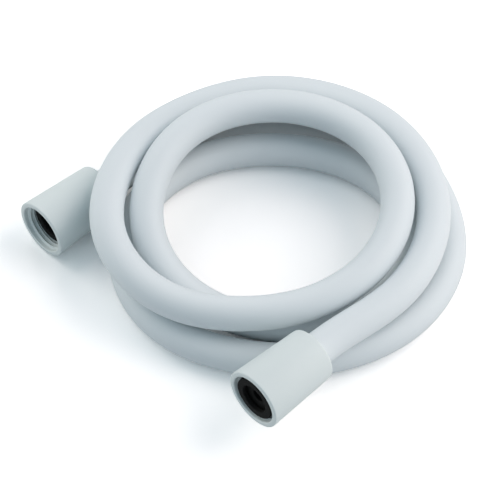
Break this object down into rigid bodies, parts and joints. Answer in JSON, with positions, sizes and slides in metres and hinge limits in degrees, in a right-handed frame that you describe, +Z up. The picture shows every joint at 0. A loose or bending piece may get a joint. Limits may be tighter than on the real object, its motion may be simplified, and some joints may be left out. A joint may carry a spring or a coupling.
{
  "type": "shower hose",
  "caption": "Smooth white PVC shower hose lying loosely coiled, with a conical white coupling nut on each end, both mouths facing the same way.",
  "frame": {"origin": "on the floor, under the middle of the whole hose's bounding box as it lies coiled", "axes": "+Z up; both nuts' mouths face -X, the front one tipped up by 2.4 degrees and the rear one by 2.6 degrees; +Y runs from the front nut towards the rear one"},
  "size_m": [0.149, 0.1524, 0.0376],
  "materials": {
    "hose_pvc": "smooth satin white",
    "nut_plastic": "smooth moulded white",
    "washer_rubber": "matt black",
    "insert_plastic": "moulded black",
    "ferrule_steel": "plain crimped sleeve"
  },
  "bodies": {
    "hose": {"hose": "hose_pvc", "front_washer": "washer_rubber", "front_insert": "insert_plastic", "front_ferrule": "ferrule_steel", "rear_washer": "washer_rubber", "rear_insert": "insert_plastic", "rear_ferrule": "ferrule_steel"},
    "front_nut": {"front_nut": "nut_plastic"},
    "rear_nut": {"rear_nut": "nut_plastic"}
  },
  "joints": [
    {"name": "front_nut_swivel", "type": "hinge", "parent": "hose", "child": "front_nut", "pos_m": [-0.07282, -0.06171, 0.02477], "axis": [-0.9991, 0, 0.0419], "continuous": true},
    {"name": "rear_nut_swivel", "type": "hinge", "parent": "hose", "child": "rear_nut", "pos_m": [-0.07392, 0.06341, 0.01284], "axis": [-0.999, 0, 0.0446], "continuous": true}
  ]
}
